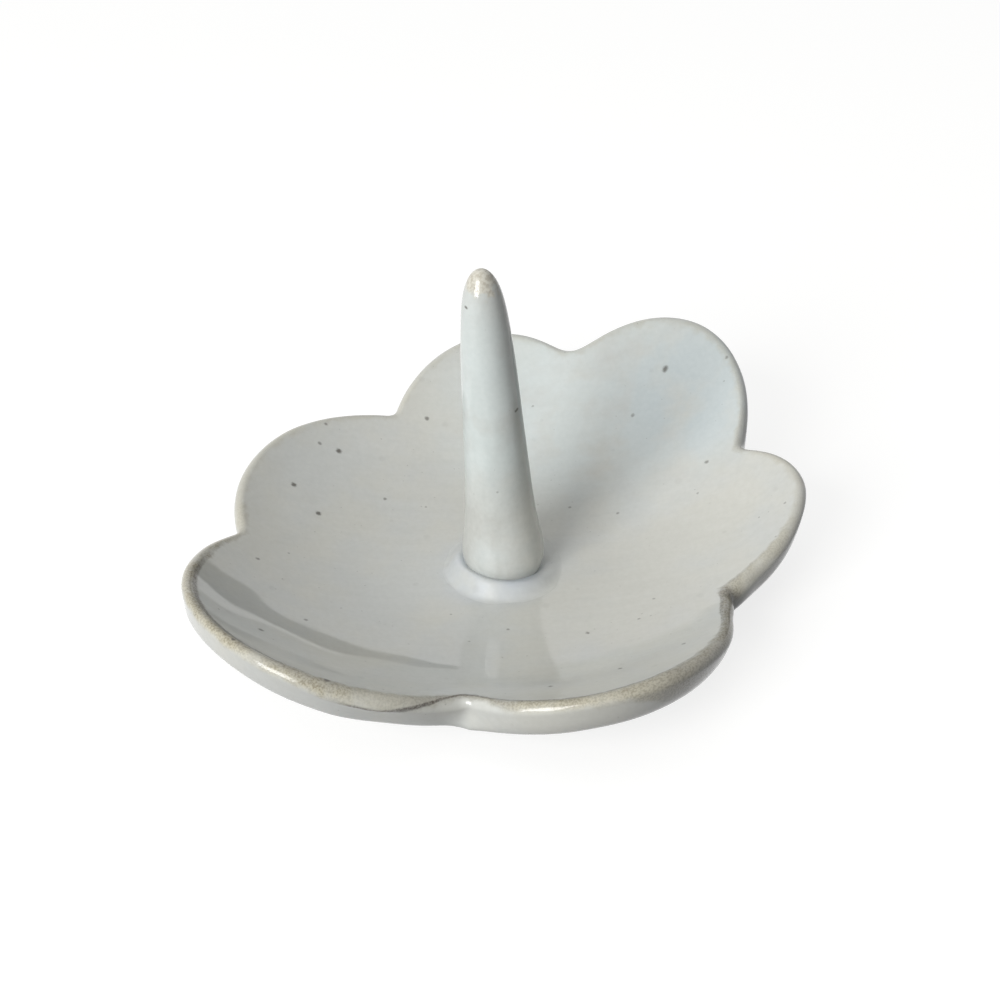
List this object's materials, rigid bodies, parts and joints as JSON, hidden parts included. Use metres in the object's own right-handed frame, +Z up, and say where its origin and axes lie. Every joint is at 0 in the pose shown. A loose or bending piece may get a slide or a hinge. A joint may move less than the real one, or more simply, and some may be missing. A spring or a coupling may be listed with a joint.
{
  "type": "ring dish",
  "caption": "Hand-built glazed stoneware ring dish: a shallow flower-shaped bowl with a tapered upright post in the middle for holding finger rings",
  "frame": {"origin": "the middle of the flat base, on the surface that the dish stands on, under the bowl's axis", "axes": "+Z up out of the dish, -Y towards the front and +X to the right, as the picture shows it"},
  "size_m": [0.1056, 0.1054, 0.0631],
  "materials": {
    "dish_glaze": "glossy milky white glaze over iron-speckled buff stoneware, breaking tan at the rim, bare clay on the base",
    "post_glaze": "glossy milky white glaze, thin and tan at the tip",
    "collar_glaze": "glossy white glaze, pooled thick and faintly blue"
  },
  "bodies": {
    "root": {"dish": "dish_glaze", "ring_post": "post_glaze", "joint_collar": "collar_glaze"}
  },
  "joints": []
}
